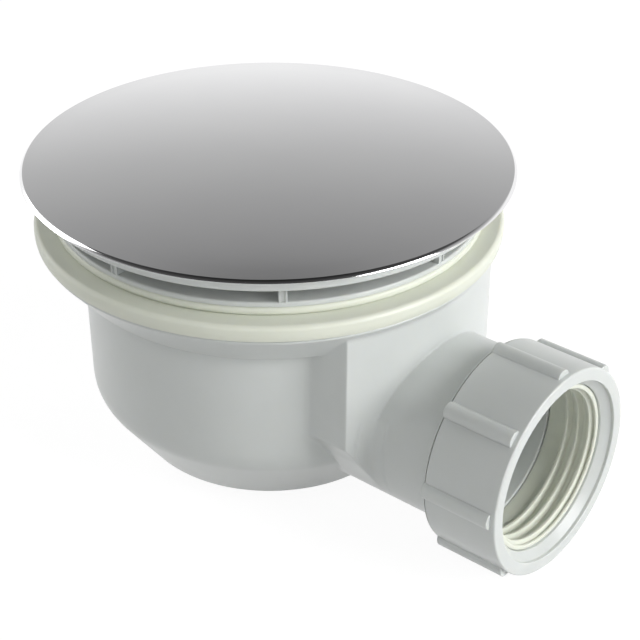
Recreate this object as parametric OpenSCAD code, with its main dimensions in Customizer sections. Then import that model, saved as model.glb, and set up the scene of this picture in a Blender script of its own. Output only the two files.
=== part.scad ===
// Shower trap for a 90 mm tray hole: chromed cover, clamped flange and seals, bowl with an overflow
// pouch, removable dip tube, and a coupling nut for a 40 mm pipe. Millimetres, +Z up, outlet along +X.
// The origin is the middle of the tray hole, in the plane where the tray rests on the lower seal.

/* [Cover] */
// Diameter of the cover
cover_d = 120; // [119:0.5:122]
// Height of the cover's widest circle above the lower seal
cover_rim_z = 12.8; // [12.8:0.1:14]
// Rise of the crown from rim to middle
cover_rise = 1.6; // [0.8:0.1:2.4]
// Thickness of the cover at its crown
cover_sheet = 1.2; // [1:0.1:1.4]
// Legs that hold the cover above the flange
leg_count = 8; // [4:4:8]

/* [Clamp flange and seals] */
// Diameter of the flange above the tray
flange_d = 105.2; // [104:0.2:106]
// Diameter of the flange's skirt, which passes the tray hole
skirt_d = 88; // [87.6:0.1:88.2]
// Screws that clamp the tray
screw_count = 4; // [2:2:4]
// Diameter of the circle that the screws stand on
screw_circle_d = 76; // [75.6:0.1:76.2]
// Thickness of the flat upper seal
upper_seal_t = 2.15; // [2:0.05:2.2]
// Outer diameter of the profile seal under the tray
lower_seal_d = 115.2; // [114.6:0.2:115.6]
// Thickness of the profile seal
lower_seal_t = 4.3; // [4.1:0.1:4.5]

/* [Trap body] */
// Outer diameter of the bowl under its flare
bowl_d = 92.4; // [92:0.2:93]
// Outer diameter of the bowl's flat floor
floor_d = 67.7; // [64:0.5:70]
// Depth of the bowl's floor below the tray
floor_depth = 61.2; // [60.5:0.1:62]
// Wall thickness of the moulding
wall = 2.4; // [2.2:0.1:2.5]
// Radius of the overflow pouch's curved front, from the bowl's axis
pouch_r = 55.15; // [54.6:0.05:55.4]
// Width of the overflow pouch
pouch_w = 55.2; // [54:0.2:56]
// Depth of the weir that the water spills over
weir_depth = 19; // [17:0.5:21]
// Depth of the dip tube's lower edge
dip_depth = 52; // [48:0.5:53]

/* [Outlet] */
// Depth of the outlet's axis below the tray
outlet_depth = 38.6; // [38.4:0.1:38.8]
// Outer diameter of the outlet tube
tube_d = 44; // [43.6:0.1:44.4]
// Distance from the bowl's axis to the nut's front face
nut_front_x = 88.9; // [88.9:0.1:90]
// Length of the coupling nut
nut_length = 20; // [19.6:0.1:20.4]
// Outer diameter of the coupling nut between its ribs
nut_d = 51.6; // [51.2:0.1:52.2]
// Grip ribs round the nut
nut_ribs = 8; // [6:1:12]
// Diameter inside the sealing lips, for a 40 mm pipe
lip_d = 37.7; // [37:0.1:38.5]

/* [Hidden] */
$fn = 96;
white = "whitesmoke";
cream = "lemonchiffon";
gap = 0.2;
cut = 1;

cover_r = cover_d / 2;
rim_top_z = cover_rim_z + 0.4;
rim_low_z = cover_rim_z - 0.5;
crown_edge_r = cover_r - 0.6;
land_r = 52;
lug_r = 54.6;
carrier_r = 56.4;
carrier_low_z = 8.3;
spoke_low_z = 9.5;
hub_r = 7;
knob_r = 5;

flange_r = flange_d / 2;
flange_top_z = upper_seal_t + 1.25;
skirt_r = skirt_d / 2;
ledge_top_z = -1.6;
ledge_low_z = -4.6;
throat_r = 31.9;
throat_wall = 1.8;
rim_seat_r = 33.5;
rim_seat_z = -4;
throat_low_z = -12;

screw_r = 2;
screw_head_r = 3.6;
screw_head_h = 2.5;
screw_length = 20;
insert_r = 2.9;
insert_h = 8;
boss_r = 4;
boss_top_z = -8.4;
boss_low_z = -30;
boss_web = 4;

seal_round_r = 5.8;
rim_land_z = -lower_seal_t;
rim_edge_r = 56.6;
rim_land_in_r = 50.6;
key_in_r = 52.6;
key_out_r = 54.6;
key_depth = 1.4;
flare_out = [51, -11.5];
flare_z = -13.8;
bowl_r = bowl_d / 2;
bowl_foot = [bowl_r - 0.6, -46.2];
floor_r = floor_d / 2;
corner_r = 10.8;
chamber_top_z = -9.4;
pouch_side_z = -37;
slope_sink = 0.3;
gusset_round = 5;
gusset_r = 25.4;
gusset_x = 49;
gusset_top_z = -29.6;

tube_r = tube_d / 2;
tube_bore_r = tube_r - wall;
thread_r = 23.2;
thread_x = 70.2;
tube_end_x = nut_front_x - 8.5;
seal_seat_r = 21.4;
seal_seat_x = 72.3;
nut_r = nut_d / 2;
nut_back_x = nut_front_x - nut_length;
nut_hole_r = 20.8;
nut_mouth_r = 22.6;
rib_r = 2.2;
rib_rise = 1.46;
rib_back = 0.2;
rib_front = 1.3;
nut_step_x = nut_front_x - 5.5;
lip_r = lip_d / 2;
groove_r = 20.1;

// Points of an arc about c, from angle a0 to angle a1
function arc(c, r, a0, a1, n = 8) =
    [for (i = [0:n]) let (a = a0 + (a1 - a0) * i / n) c + r * [cos(a), sin(a)]];

// Points of a round of radius r at corner b, on the way from a to d
function fillet(a, b, d, r, n = 8) =
    let (u = (a - b) / norm(a - b), v = (d - b) / norm(d - b))
    let (half = acos(u * v) / 2, m = b + (u + v) / norm(u + v) * r / sin(half))
    let (s = b + u * r / tan(half) - m, e = b + v * r / tan(half) - m)
    let (a0 = atan2(s[1], s[0]), turn = atan2(s[0] * e[1] - s[1] * e[0], s * e))
    arc(m, r, a0, a0 + turn, n);

// Where a line from point p, outside the circle, touches the lower side of the circle (c, r)
function touch(p, c, r) =
    let (q = p - c, a = atan2(q[1], q[0]) + acos(r / norm(q)))
    c + r * [cos(a), sin(a)];

// A ring turned about Z from a closed outline of [radius, height] points
module turned(outline) {
    rotate_extrude() polygon(outline);
}

// The same about the outlet's axis, from [radius, distance along X] points
module turned_on_outlet(outline) {
    translate([0, 0, -outlet_depth]) rotate([0, 90, 0]) rotate_extrude() polygon(outline);
}

module outlet_rod(r, x0, x1) {
    translate([x0, 0, -outlet_depth]) rotate([0, 90, 0]) cylinder(r = r, h = x1 - x0);
}

// Repeats its children round the bowl's axis
module around(count, start = 0) {
    for (i = [0:count - 1]) rotate([0, 0, start + 360 * i / count]) children();
}

// Height of the crown's surface at radius r
function crown_z(r) =
    let (ball = (pow(crown_edge_r, 2) + pow(cover_rise, 2)) / (2 * cover_rise))
    rim_top_z + cover_rise - ball + sqrt(ball * ball - r * r);

module cover() {
    steps = 12;
    nose_r = (rim_top_z - rim_low_z) / 2;
    top = [for (i = [0:steps]) let (r = crown_edge_r * i / steps) [r, crown_z(r)]];
    nose = arc([cover_r - nose_r, rim_top_z - nose_r], nose_r, 75, -90, 8);
    under = [for (i = [0:steps]) let (r = land_r * (1 - i / steps)) [r, crown_z(r) - cover_sheet]];
    color("silver") {
        turned(concat(top, nose, [[land_r, rim_low_z]], under));
        around(4, 22.5 - 6) rotate_extrude(angle = 12)
            polygon([[lug_r - 1.2, rim_low_z + 0.3], [lug_r - 1.2, carrier_low_z + 1],
                [lug_r, carrier_low_z + 1.6], [lug_r, rim_low_z + 0.3]]);
    }
}

module cover_leg() {
    foot_z = flange_top_z;
    spoke_in_r = hub_r - 1;
    spoke_out_r = lug_r + 1;
    difference() {
        union() {
            translate([46, -1, foot_z]) cube([flange_r - 0.2 - 46, 2, spoke_low_z - foot_z]);
            translate([spoke_in_r, -0.8, spoke_low_z]) cube([spoke_out_r - spoke_in_r, 1.6, rim_low_z - spoke_low_z]);
        }
        translate([flange_r - 0.7, -0.45, foot_z - cut]) cube([cut, 0.9, carrier_low_z - foot_z + cut]);
    }
}

module cover_carrier() {
    ring_in_r = lug_r + gap;
    color(white) {
        turned([[ring_in_r, rim_low_z], [ring_in_r, carrier_low_z], [carrier_r - 0.3, carrier_low_z],
            [carrier_r, carrier_low_z + 0.3], [carrier_r, rim_low_z]]);
        turned([[knob_r + 0.3, rim_low_z], [knob_r + 0.3, 4], [hub_r - 0.4, 4], [hub_r, 4.4], [hub_r, rim_low_z]]);
        around(leg_count) cover_leg();
    }
}

module hair_strainer() {
    plate_top_z = rim_seat_z - 0.8;
    plate_low_z = plate_top_z - 1.2;
    // Each row of holes is [radius of the row, number of holes]
    rows = [[9.5, 8], [15, 12], [21, 18]];
    color("gainsboro") difference() {
        turned([[0, plate_low_z], [27, plate_low_z], [27, -6], [29, -6], [29, -4.4], [25.6, -4.4],
            [25, plate_top_z], [knob_r - 1.2, plate_top_z], [knob_r - 1.2, 3.4], [knob_r, 4.8],
            [knob_r, 8.6], [knob_r - 0.8, 9.4], [0, 9.4]]);
        for (row = rows) around(row[1])
            translate([row[0], 0, plate_low_z - cut]) cylinder(r = 2.1, h = 4);
    }
}

module dip_tube() {
    neck_r = throat_r - 0.4;
    tube_out_r = 29.5;
    bore_r = 27.5;
    ring_z = -7.5;
    color(white) {
        difference() {
            turned([[bore_r, -dip_depth], [tube_out_r - 0.8, -dip_depth], [tube_out_r, -dip_depth + 1.2],
                [tube_out_r, throat_low_z + 1], [neck_r, throat_low_z + 2], [neck_r, rim_seat_z],
                [rim_seat_r - 0.3, rim_seat_z], [rim_seat_r - 0.3, rim_seat_z + 1.4],
                [rim_seat_r - 0.7, rim_seat_z + 1.8], [30.4, rim_seat_z + 1.8], [29.3, -3.2],
                [29.3, -6], [bore_r, -6]]);
            turned([[neck_r + cut, ring_z - 1.1], [30, ring_z - 1.1], [30, ring_z + 1.1], [neck_r + cut, ring_z + 1.1]]);
        }
        translate([-bore_r - 0.5, -1.5, -16]) cube([2 * bore_r + 1, 3, 6]);
    }
}

module dip_tube_ring() {
    section_r = (throat_r - 30) / 2;
    color("dimgray") rotate_extrude() translate([30 + section_r, -7.5]) circle(r = section_r, $fn = 32);
}

module clamp_flange() {
    color(white) difference() {
        turned([[skirt_r, upper_seal_t], [flange_r, upper_seal_t], [flange_r, flange_top_z - 0.4],
            [flange_r - 0.4, flange_top_z], [skirt_r - 0.6, flange_top_z],
            [skirt_r - 2.2, ledge_top_z], [rim_seat_r, ledge_top_z], [rim_seat_r, rim_seat_z],
            [throat_r, rim_seat_z], [throat_r, throat_low_z], [throat_r + throat_wall - 0.6, throat_low_z],
            [throat_r + throat_wall, throat_low_z + 0.6], [throat_r + throat_wall, ledge_low_z],
            [skirt_r - 2, ledge_low_z], [skirt_r - 2, ledge_low_z - 1], [skirt_r, ledge_low_z - 1]]);
        around(screw_count, 45) translate([screw_circle_d / 2, 0, ledge_low_z - cut])
            cylinder(r = screw_r + 0.25, h = 6);
    }
}

module clamp_screw() {
    slot_w = 0.9;
    difference() {
        union() {
            translate([0, 0, ledge_top_z]) cylinder(r = screw_head_r, h = screw_head_h - 0.6);
            translate([0, 0, ledge_top_z + screw_head_h - 0.6])
                cylinder(r1 = screw_head_r, r2 = screw_head_r - 0.8, h = 0.6);
            translate([0, 0, ledge_top_z - screw_length + 1]) cylinder(r = screw_r, h = screw_length - 1);
            translate([0, 0, ledge_top_z - screw_length]) cylinder(r1 = screw_r - 0.8, r2 = screw_r, h = 1);
        }
        for (turn = [0, 90]) rotate([0, 0, turn])
            translate([-2, -slot_w / 2, ledge_top_z + 1]) cube([4, slot_w, screw_head_h]);
    }
}

module clamp_screws() {
    color("lightsteelblue") around(screw_count, 45) translate([screw_circle_d / 2, 0, 0]) clamp_screw();
}

module threaded_inserts() {
    color("goldenrod") around(screw_count, 45) translate([screw_circle_d / 2, 0, boss_top_z - insert_h])
        difference() {
            cylinder(r = insert_r, h = insert_h);
            translate([0, 0, -cut]) cylinder(r = screw_r + 0.05, h = insert_h + 2 * cut);
        }
}

module upper_seal() {
    out_r = flange_r + 0.2;
    bulge = upper_seal_t / 2;
    color(cream) turned(concat([[skirt_r + 0.3, 0]], arc([out_r - bulge, bulge], bulge, -90, 90, 6),
        [[skirt_r + 0.3, upper_seal_t]]));
}

// Rounded outer edge of the lower seal, from its top face down to the body's rim
function seal_edge(r) =
    concat(arc([r - 1.2, -1.2], 1.2, 90, 0, 4),
        arc([r - seal_round_r, -1.9], seal_round_r, 0, -asin((lower_seal_t - 1.9) / seal_round_r), 4));

module lower_seal() {
    out_r = lower_seal_d / 2;
    in_r = skirt_r + 2.5;
    color(cream) turned(concat([[in_r, 0]], seal_edge(out_r),
        [[rim_edge_r - 0.1, rim_land_z], [key_out_r - 0.1, rim_land_z], [key_out_r - 0.1, rim_land_z - key_depth + 0.2],
            [key_in_r + 0.1, rim_land_z - key_depth + 0.2], [key_in_r + 0.1, rim_land_z],
            [in_r, rim_land_z]]));
}

// Side of the bowl from its floor up to its flare, as a turned outline that starts on the axis
function bowl_side(r, foot, low_r, low_z, round_r) =
    concat([[0, low_z], [low_r, low_z]], fillet([low_r, low_z], foot, [r, flare_z], round_r, 8), [[r, flare_z]]);

module bowl_outside() {
    turned(concat(bowl_side(bowl_r, bowl_foot, floor_r, -floor_depth, corner_r), [[0, flare_z]]));
}

// Space inside the bowl and its flared mouth, open at the top
module bowl_inside() {
    side = bowl_side(bowl_r - wall, bowl_foot - [wall, 0], floor_r - 1.6, -floor_depth + wall, corner_r - wall);
    turned(concat(side, [[46.6, flare_z + 1.2], [49, -9.8], [rim_land_in_r, -7.9], [rim_land_in_r, cut], [0, cut]]));
}

module flared_rim() {
    knee = fillet([bowl_r, flare_z], [bowl_r + 2.9, flare_z], flare_out, 3, 5);
    turned(concat([[0, flare_z], [bowl_r, flare_z]], knee, [flare_out, [rim_edge_r, rim_land_z - 0.7],
        [rim_edge_r, rim_land_z], [key_out_r, rim_land_z], [key_out_r, rim_land_z - key_depth],
        [key_in_r, rim_land_z - key_depth], [key_in_r, rim_land_z], [0, rim_land_z]]));
}

// Section of the pouch across the outlet: straight sides, then slopes that run out on the tube
module pouch_section(half_w, side_z, r, top_z) {
    c = [0, -outlet_depth];
    t = touch([-half_w, side_z], c, r - slope_sink);
    polygon([[-half_w, top_z], [-half_w, side_z], t, [-t[0], t[1]], [half_w, side_z], [half_w, top_z]]);
}

// A section drawn in Y and Z, drawn out along X
module along_x(x0, x1) {
    translate([x0, 0, 0]) rotate([90, 0, 90]) linear_extrude(x1 - x0) children();
}

module pouch_solid(half_w, side_z, front_r, r, top_z) {
    intersection() {
        along_x(20, 60) pouch_section(half_w, side_z, r, top_z);
        translate([0, 0, -outlet_depth - r]) cylinder(r = front_r, h = outlet_depth + r + top_z);
    }
}

// Gusset that rounds the lower half of the tube's root into the pouch, inside the pouch's own section
module tube_gusset() {
    centre = [tube_r + gusset_round - slope_sink, gusset_x + gusset_round];
    flare = arc(centre, gusset_round, 180 + acos((centre[0] - gusset_r) / gusset_round), 180, 6);
    intersection() {
        turned_on_outlet(concat([[0, 40], [gusset_r, 40]], flare, [[0, centre[1]]]));
        along_x(40, 70) pouch_section(pouch_w / 2, pouch_side_z, tube_r, gusset_top_z);
    }
}

module trap_shell() {
    bowl_outside();
    flared_rim();
    pouch_solid(pouch_w / 2, pouch_side_z, pouch_r, tube_r, rim_land_z - 1.6);
    turned_on_outlet([[0, 30], [tube_r, 30], [tube_r, thread_x], [thread_r, thread_x + 1],
        [thread_r, tube_end_x - 1], [thread_r - 0.8, tube_end_x], [0, tube_end_x]]);
    tube_gusset();
}

// Overflow chamber and outlet bore, both outside the bowl's own wall
module outlet_way() {
    difference() {
        union() {
            pouch_solid(pouch_w / 2 - wall, pouch_side_z, pouch_r - wall, tube_bore_r, chamber_top_z);
            outlet_rod(tube_bore_r, 30, tube_end_x + cut);
        }
        bowl_outside();
    }
    outlet_rod(seal_seat_r, seal_seat_x, tube_end_x + cut);
}

// The gap that the water spills through, over the bowl's wall
module weir_gap() {
    intersection() {
        translate([30, -pouch_w / 2 + wall, -weir_depth])
            cube([30, pouch_w - 2 * wall, weir_depth + chamber_top_z]);
        cylinder(r = pouch_r - wall, h = 80, center = true);
    }
}

module screw_boss() {
    top = boss_top_z - boss_low_z;
    difference() {
        union() {
            translate([screw_circle_d / 2, 0, boss_low_z]) cylinder(r = boss_r, h = top);
            translate([screw_circle_d / 2, -boss_web / 2, boss_low_z])
                cube([bowl_r - wall / 2 - screw_circle_d / 2, boss_web, -15 - boss_low_z]);
        }
        translate([screw_circle_d / 2, 0, boss_top_z - insert_h]) cylinder(r = insert_r, h = insert_h + cut);
        translate([screw_circle_d / 2, 0, boss_low_z + 4]) cylinder(r = screw_r + 0.4, h = top);
    }
}

module trap_body() {
    color(white) {
        difference() {
            trap_shell();
            bowl_inside();
            outlet_way();
            weir_gap();
        }
        around(screw_count, 45) screw_boss();
    }
}

module outlet_seal() {
    front_x = nut_front_x - 3;
    flange_x = tube_end_x;
    flange_t = 2;
    back_x = seal_seat_x + 0.2;
    // Places of the lips along the outlet, each as wide at its crest as lip_w
    lips = [for (i = [0:2]) front_x - 1.8 - 3 * i];
    lip_w = 0.6;
    lip_points = [for (x = lips) each [[groove_r, x + 0.95], [lip_r, x + lip_w / 2], [lip_r, x - lip_w / 2],
        [groove_r, x - 0.95]]];
    color(cream) turned_on_outlet(concat(
        [[seal_seat_r - 0.05, back_x], [seal_seat_r - 0.05, flange_x], [22.9, flange_x], [22.9, flange_x + flange_t],
            [nut_hole_r - 0.1, flange_x + flange_t], [nut_hole_r - 0.1, front_x - 0.2], [nut_hole_r - 0.3, front_x],
            [19.6, front_x], [19.5, front_x - 0.1], [19.5, front_x - 0.5], [groove_r, front_x - 0.8]],
        lip_points, [[groove_r, back_x]]));
}

module slip_ring() {
    color("white") turned_on_outlet([[nut_hole_r, tube_end_x + 2], [nut_hole_r, nut_step_x],
        [23, nut_step_x], [23, tube_end_x + 2]]);
}

// Half-round grip rib, sunk into the nut's wall
module nut_rib() {
    length = nut_length - rib_back - rib_front;
    translate([nut_back_x + rib_back, 0, nut_r + rib_rise - rib_r]) rotate([0, 90, 0]) {
        cylinder(r1 = rib_r - 0.5, r2 = rib_r, h = 0.5);
        translate([0, 0, 0.5]) cylinder(r = rib_r, h = length - 0.5);
    }
}

module outlet_nut() {
    thread_bore_r = thread_r + 0.1;
    color(white) difference() {
        union() {
            turned_on_outlet([[0, nut_back_x], [nut_r - 1, nut_back_x], [nut_r, nut_back_x + 0.8],
                [nut_r, nut_front_x - 0.4], [nut_r - 0.4, nut_front_x], [0, nut_front_x]]);
            translate([0, 0, -outlet_depth])
                for (i = [0:nut_ribs - 1]) rotate([360 * i / nut_ribs, 0, 0]) nut_rib();
        }
        turned_on_outlet([[0, nut_back_x - cut], [thread_bore_r, nut_back_x - cut], [thread_bore_r, nut_step_x],
            [nut_hole_r, nut_step_x], [nut_hole_r, nut_front_x - 2.6], [nut_mouth_r, nut_front_x - 0.8],
            [nut_mouth_r, nut_front_x + cut], [0, nut_front_x + cut]]);
    }
}

cover();
cover_carrier();
hair_strainer();
dip_tube();
dip_tube_ring();
clamp_flange();
clamp_screws();
threaded_inserts();
upper_seal();
lower_seal();
trap_body();
outlet_seal();
slip_ring();
outlet_nut();
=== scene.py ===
"""Dresses the shower trap: finished meshes, materials, studio and camera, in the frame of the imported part."""
import sys

import logging
import math
from dataclasses import dataclass, field
from enum import Enum
from typing import Any, Callable, Sequence

import bmesh
import bpy
import numpy as np
from mathutils import Matrix, Vector

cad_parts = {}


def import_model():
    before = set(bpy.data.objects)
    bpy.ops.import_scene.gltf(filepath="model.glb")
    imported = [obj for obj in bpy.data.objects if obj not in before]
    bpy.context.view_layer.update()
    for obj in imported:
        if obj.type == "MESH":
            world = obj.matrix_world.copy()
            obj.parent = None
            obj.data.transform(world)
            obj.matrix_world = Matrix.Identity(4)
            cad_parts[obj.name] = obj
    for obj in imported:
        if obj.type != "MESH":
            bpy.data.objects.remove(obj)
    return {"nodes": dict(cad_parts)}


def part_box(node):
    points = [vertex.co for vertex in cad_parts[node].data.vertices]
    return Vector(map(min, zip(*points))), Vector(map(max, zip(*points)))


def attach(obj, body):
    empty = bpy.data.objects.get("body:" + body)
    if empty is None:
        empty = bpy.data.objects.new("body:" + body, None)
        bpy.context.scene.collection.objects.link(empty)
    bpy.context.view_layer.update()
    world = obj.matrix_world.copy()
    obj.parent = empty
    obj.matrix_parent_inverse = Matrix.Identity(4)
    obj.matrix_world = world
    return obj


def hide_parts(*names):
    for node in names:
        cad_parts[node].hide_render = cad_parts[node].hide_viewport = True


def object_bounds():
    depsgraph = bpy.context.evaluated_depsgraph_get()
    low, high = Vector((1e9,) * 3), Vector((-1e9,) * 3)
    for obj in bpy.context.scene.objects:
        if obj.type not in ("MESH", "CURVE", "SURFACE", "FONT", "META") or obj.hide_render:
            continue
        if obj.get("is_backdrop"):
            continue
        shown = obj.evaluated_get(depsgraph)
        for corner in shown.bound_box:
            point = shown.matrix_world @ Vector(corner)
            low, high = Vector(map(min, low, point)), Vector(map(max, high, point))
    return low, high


ROOT = "root"
STARTUP_OBJECTS = ("Cube", "Light", "Camera")
MM = 0.001
TURN = 2.0 * math.pi
TINY = 1e-18
WHITE = (1.0, 1.0, 1.0, 1.0)

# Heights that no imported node's box gives
CARRIER_LOW = 0.0083
LOWER_SEAL_LOW = -0.0043

# Roundings that many edges share
FINE_ROUND = 0.1 * MM
EDGE_ROUND = 0.2 * MM
SOFT_ROUND = 0.3 * MM
BROAD_ROUND = 0.5 * MM

# Places outside the object, where the bars and drums of a form may end
WELL_BELOW = -0.08
WELL_AHEAD = 0.09

# Angle from which an edge stays crisp
CRISP = math.radians(38.0)

Point2 = tuple[float, float]
Corner = tuple[float, float, float]
Span = tuple[float, float, float]
Box = tuple[list[Sequence[float]], list[list[int]]]
Links = dict[str | int, Any]

log = logging.getLogger("shower_trap")


class Slot(Enum):
    """Material slots of the record."""

    CHROME = "chromed_steel"
    PLASTIC = "white_plastic"
    GREY = "grey_plastic"
    CREAM = "cream_rubber"
    BLACK = "black_rubber"
    STEEL = "screw_steel"
    BRASS = "brass"


class Axis(Enum):
    """Line that a turned piece is turned about."""

    BOWL = "bowl"
    OUTLET = "outlet"


# Objects and meshes

def add_object(name: str, data: bpy.types.ID) -> bpy.types.Object:
    """Makes an object of a mesh, a lamp or a camera, and links it to the scene.

    Args:
        name: Name of the new object.
        data: What the object shows.

    Returns:
        The new object.
    """
    thing = bpy.data.objects.new(name, data)
    bpy.context.scene.collection.objects.link(thing)
    return thing


def mesh_of(name: str, points: Sequence[Sequence[float]], faces: Sequence[Sequence[int]]) -> bpy.types.Mesh:
    """Makes a mesh.

    Args:
        name: Name of the new mesh.
        points: Its corners.
        faces: The corners' numbers of each face.

    Returns:
        The new mesh.
    """
    mesh = bpy.data.meshes.new(name)
    mesh.from_pydata(points, [], faces)
    return mesh


def applied_mesh(thing: bpy.types.Object) -> bpy.types.Mesh:
    """Plain mesh of an object with its modifiers applied."""
    graph = bpy.context.evaluated_depsgraph_get()
    return bpy.data.meshes.new_from_object(thing.evaluated_get(graph), depsgraph=graph)


def finish_mesh(name: str, mesh: bpy.types.Mesh, sharp: float) -> bpy.types.Object:
    """Makes an object of a mesh, smooth except at edges sharper than an angle.

    Args:
        name: Name of the new object.
        mesh: The mesh.
        sharp: Angle in radians from which an edge stays crisp.

    Returns:
        The new object.
    """
    mesh.validate()
    mesh.shade_smooth()
    mesh.set_sharp_from_angle(angle=sharp)
    thing = add_object(name, mesh)
    weighted = thing.modifiers.new("even_normals", "WEIGHTED_NORMAL")
    weighted.keep_sharp = True
    return thing


def box_mesh(low: Sequence[float], high: Sequence[float]) -> Box:
    """Corners and faces of an upright box.

    Args:
        low: Its lowest corner.
        high: Its highest corner.

    Returns:
        The corners and the faces, which point outwards.
    """
    corners = [(x, y, z) for x in (low[0], high[0]) for y in (low[1], high[1]) for z in (low[2], high[2])]
    faces = [[0, 1, 3, 2], [4, 6, 7, 5], [0, 4, 5, 1], [2, 3, 7, 6], [0, 2, 6, 4], [1, 5, 7, 3]]
    return corners, faces


def join_boxes(name: str, parts: Sequence[Box], rounding: float) -> bpy.types.Object:
    """Joins boxes into one object with rounded edges.

    Args:
        name: Name of the new object.
        parts: Corners and faces of each box.
        rounding: Width of the bevel on every edge.

    Returns:
        The new object, with its bevel applied.
    """
    corners: list[Sequence[float]] = []
    faces: list[list[int]] = []
    for points, sides in parts:
        faces += [[i + len(corners) for i in side] for side in sides]
        corners += points
    thing = add_object(name, mesh_of(name, corners, faces))
    bevel = thing.modifiers.new("rounding", "BEVEL")
    bevel.width, bevel.segments, bevel.limit_method = rounding, 2, "NONE"
    thing.data = applied_mesh(thing)
    thing.modifiers.remove(bevel)
    return thing


def merged(name: str, things: Sequence[bpy.types.Object]) -> bpy.types.Object:
    """Puts the meshes of several objects into one new object and removes the old ones.

    Args:
        name: Name of the new object.
        things: The objects that are merged.

    Returns:
        The new object.
    """
    whole = bmesh.new()
    for thing in things:
        whole.from_mesh(thing.data)
        bpy.data.objects.remove(thing)
    mesh = bpy.data.meshes.new(name)
    whole.to_mesh(mesh)
    whole.free()
    return add_object(name, mesh)


def direction(azimuth: float, elevation: float) -> Vector:
    """Unit vector from the object to a place.

    Args:
        azimuth: Angle in degrees round the object, from the front towards +X.
        elevation: Angle in degrees above the floor.

    Returns:
        The vector.
    """
    a, e = math.radians(azimuth), math.radians(elevation)
    return Vector((math.sin(a) * math.cos(e), -math.cos(a) * math.cos(e), math.sin(e)))


# Outlines

def arc(centre: Point2, radius: float, start: float, end: float, steps: int = 8) -> list[Point2]:
    """Points of an arc.

    Args:
        centre: Middle of the circle.
        radius: Radius of the circle.
        start: First angle in degrees.
        end: Last angle in degrees.
        steps: Number of chords.

    Returns:
        The points from the first angle to the last.
    """
    angles = [math.radians(start + (end - start) * i / steps) for i in range(steps + 1)]
    return [(centre[0] + radius * math.cos(a), centre[1] + radius * math.sin(a)) for a in angles]


def rounded(corners: Sequence[Corner], steps: int = 5) -> list[Point2]:
    """Closed outline whose corners are rounded.

    Args:
        corners: Corners as (x, y, rounding radius), in order.
        steps: Chords in each rounding.

    Returns:
        The points of the outline.
    """
    points: list[Point2] = []
    count = len(corners)
    for i, (x, y, radius) in enumerate(corners):
        here = Vector((x, y))
        if radius <= 0.0:
            points.append((x, y))
            continue
        to_last = (Vector(corners[i - 1][:2]) - here).normalized()
        to_next = (Vector(corners[(i + 1) % count][:2]) - here).normalized()
        half = to_last.angle(to_next) / 2.0
        middle = here + (to_last + to_next).normalized() * (radius / math.sin(half))
        first = here + to_last * (radius / math.tan(half)) - middle
        last = here + to_next * (radius / math.tan(half)) - middle
        turn = math.atan2(first.x * last.y - first.y * last.x, first.dot(last))
        start = math.atan2(first.y, first.x)
        degrees = (math.degrees(start), math.degrees(start + turn))
        points += arc((middle.x, middle.y), radius, degrees[0], degrees[1], steps)
    return points


def polygon_area(outline: Sequence[Point2]) -> float:
    """Signed area of an outline, positive when it runs anticlockwise."""
    pairs = zip(outline, list(outline[1:]) + [outline[0]])
    return 0.5 * sum(a[0] * b[1] - b[0] * a[1] for a, b in pairs)


# Solids given by their distance

@dataclass(frozen=True)
class Form:
    """A solid known by its signed distance, negative inside, for points in rows of x, y and z."""

    distance: Callable[[np.ndarray], np.ndarray]

    def join(self, other: "Form", fillet: float = 0.0) -> "Form":
        """Union with another form.

        Args:
            other: The form that is added.
            fillet: Radius of the hollow rounding where the two meet.

        Returns:
            The joined form.
        """
        def distance(points: np.ndarray) -> np.ndarray:
            """Distance from each point to the union.

            Args:
                points: The points in rows.

            Returns:
                One distance for each point.
            """
            a, b = self.distance(points), other.distance(points)
            if fillet <= 0.0:
                return np.minimum(a, b)
            near = np.hypot(np.maximum(fillet - a, 0.0), np.maximum(fillet - b, 0.0))
            return np.maximum(fillet, np.minimum(a, b)) - near
        return Form(distance)

    def meet(self, other: "Form", rounding: float = 0.0) -> "Form":
        """Part that two forms share, with a rounded edge where their surfaces cross."""
        return self.outside().join(other.outside(), rounding).outside()

    def cut(self, other: "Form", rounding: float = 0.0) -> "Form":
        """This form without another one, with the new edge rounded."""
        return self.meet(other.outside(), rounding)

    def outside(self) -> "Form":
        """Everything that this form is not."""
        return Form(lambda points: -self.distance(points))


def polygon_distance(x: np.ndarray, y: np.ndarray, outline: Sequence[Point2]) -> np.ndarray:
    """Signed distance in a plane to a closed outline, negative inside.

    Args:
        x: First coordinates of the points.
        y: Second coordinates of the points.
        outline: Corners of the outline.

    Returns:
        One distance for each point.
    """
    best = np.full(x.shape, np.inf)
    sign = np.ones(x.shape)
    corners = np.array(outline)
    for (x0, y0), (x1, y1) in zip(corners, np.roll(corners, 1, axis=0)):
        ex, ey = x1 - x0, y1 - y0
        length2 = ex * ex + ey * ey
        if length2 < TINY:
            continue
        wx, wy = x - x0, y - y0
        t = np.clip((wx * ex + wy * ey) / length2, 0.0, 1.0)
        best = np.minimum(best, (wx - ex * t) ** 2 + (wy - ey * t) ** 2)
        crossing = ex * wy > ey * wx
        above, below = y >= y0, y < y1
        flips = (above & below & crossing) | (~above & ~below & ~crossing)
        sign = np.where(flips, -sign, sign)
    return sign * np.sqrt(best)


def turned_form(outline: Sequence[Point2]) -> Form:
    """Solid of revolution about the bowl's axis from an outline of (radius, height)."""
    return Form(lambda p: polygon_distance(np.hypot(p[:, 0], p[:, 1]), p[:, 2], outline))


def drum_form(radius: float) -> Form:
    """Round block about the bowl's axis, from well below the object up to the tray."""
    return turned_form([(0.0, WELL_BELOW), (radius, WELL_BELOW), (radius, 0.0), (0.0, 0.0)])


def outlet_form(outline: Sequence[Point2], depth: float) -> Form:
    """Solid of revolution about the outlet's axis from an outline of (radius, distance along X)."""
    return Form(lambda p: polygon_distance(np.hypot(p[:, 1], p[:, 2] - depth), p[:, 0], outline))


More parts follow.
